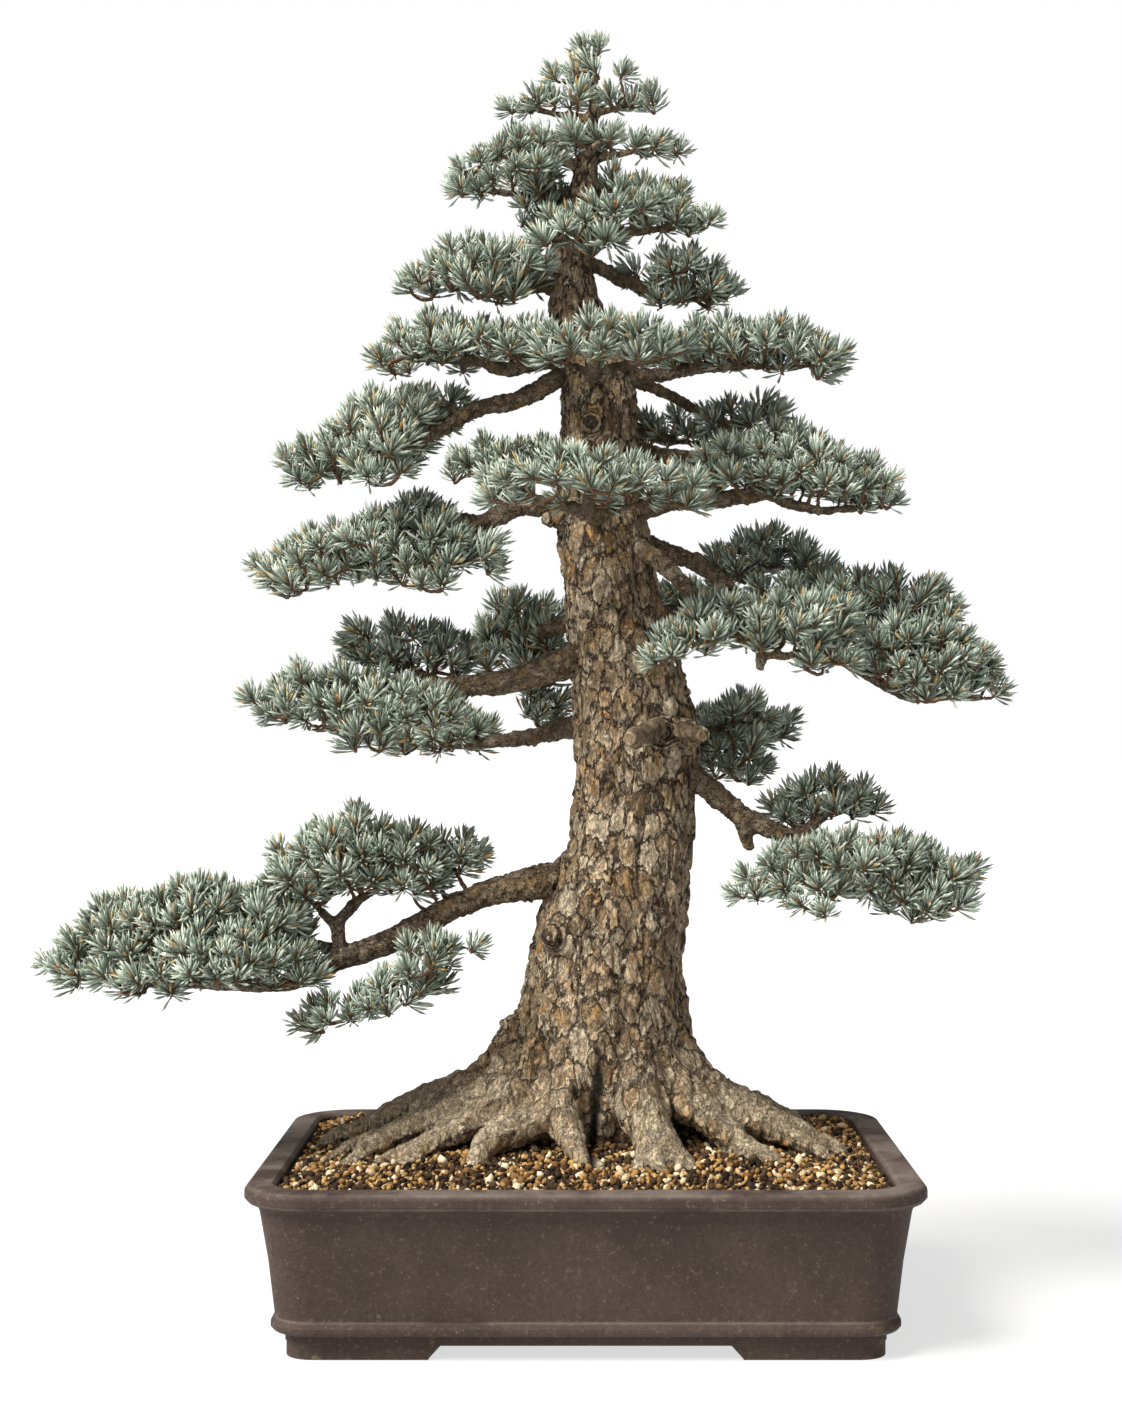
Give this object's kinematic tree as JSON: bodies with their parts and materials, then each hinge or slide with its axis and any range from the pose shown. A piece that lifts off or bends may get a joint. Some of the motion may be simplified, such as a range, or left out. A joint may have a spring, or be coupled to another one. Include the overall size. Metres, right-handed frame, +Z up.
{
  "type": "potted bonsai tree",
  "caption": "Conifer bonsai with a tapering trunk, flared surface roots and layered blue-green needle pads, in a rectangular unglazed pot on corner feet.",
  "frame": {"origin": "on the surface the pot stands on, under the middle of the whole object's bounding box", "axes": "+Z up the tree; +X to the right and +Y away from the viewer, seen from the front"},
  "size_m": [0.7196, 0.3976, 0.9559],
  "materials": {
    "pot": "unglazed stoneware, satin",
    "soil": "matt grit",
    "screen": "matt",
    "trunk_bark": "rough scaly bark",
    "branch_bark": "ringed bark",
    "foliage": "waxy needles"
  },
  "bodies": {
    "root": {"branch_back_high": "branch_bark", "branch_back_left": "branch_bark", "branch_back_low": "branch_bark", "branch_back_middle": "branch_bark", "branch_back_right": "branch_bark", "branch_back_third_right": "branch_bark", "branch_back_upper": "branch_bark", "branch_fifth_left": "branch_bark", "branch_fourth_left": "branch_bark", "branch_fourth_right": "branch_bark", "branch_front": "branch_bark", "branch_low_left": "branch_bark", "branch_low_right": "branch_bark", "branch_mid_left": "branch_bark", "branch_mid_left_back": "branch_bark", "branch_mid_right": "branch_bark", "branch_mid_right_front": "branch_bark", "branch_seventh_left": "branch_bark", "branch_seventh_right": "branch_bark", "branch_sixth_left": "branch_bark", "branch_sixth_right": "branch_bark", "branch_third_left": "branch_bark", "branch_third_right": "branch_bark", "branch_upper_front": "branch_bark", "drain_screen_left": "screen", "drain_screen_right": "screen", "foliage_back_high": "foliage", "foliage_back_left": "foliage", "foliage_back_low": "foliage", "foliage_back_middle": "foliage", "foliage_back_right": "foliage", "foliage_back_third_right": "foliage", "foliage_back_upper": "foliage", "foliage_crown": "foliage", "foliage_fifth_left": "foliage", "foliage_fourth_left": "foliage", "foliage_fourth_right_lower": "foliage", "foliage_fourth_right_upper": "foliage", "foliage_front": "foliage", "foliage_low_left_hanging": "foliage", "foliage_low_left_main": "foliage", "foliage_low_left_upper": "foliage", "foliage_low_right_main": "foliage", "foliage_low_right_upper": "foliage", "foliage_mid_left_back": "foliage", "foliage_mid_left_main": "foliage", "foliage_mid_left_upper": "foliage", "foliage_mid_right_front": "foliage", "foliage_mid_right_main": "foliage", "foliage_mid_right_upper": "foliage", "foliage_seventh_left": "foliage", "foliage_seventh_right": "foliage", "foliage_sixth_left": "foliage", "foliage_sixth_right": "foliage", "foliage_third_left": "foliage", "foliage_third_right": "foliage", "foliage_upper_front": "foliage", "pot": "pot", "soil": "soil", "trunk": "trunk_bark"}
  },
  "joints": []
}
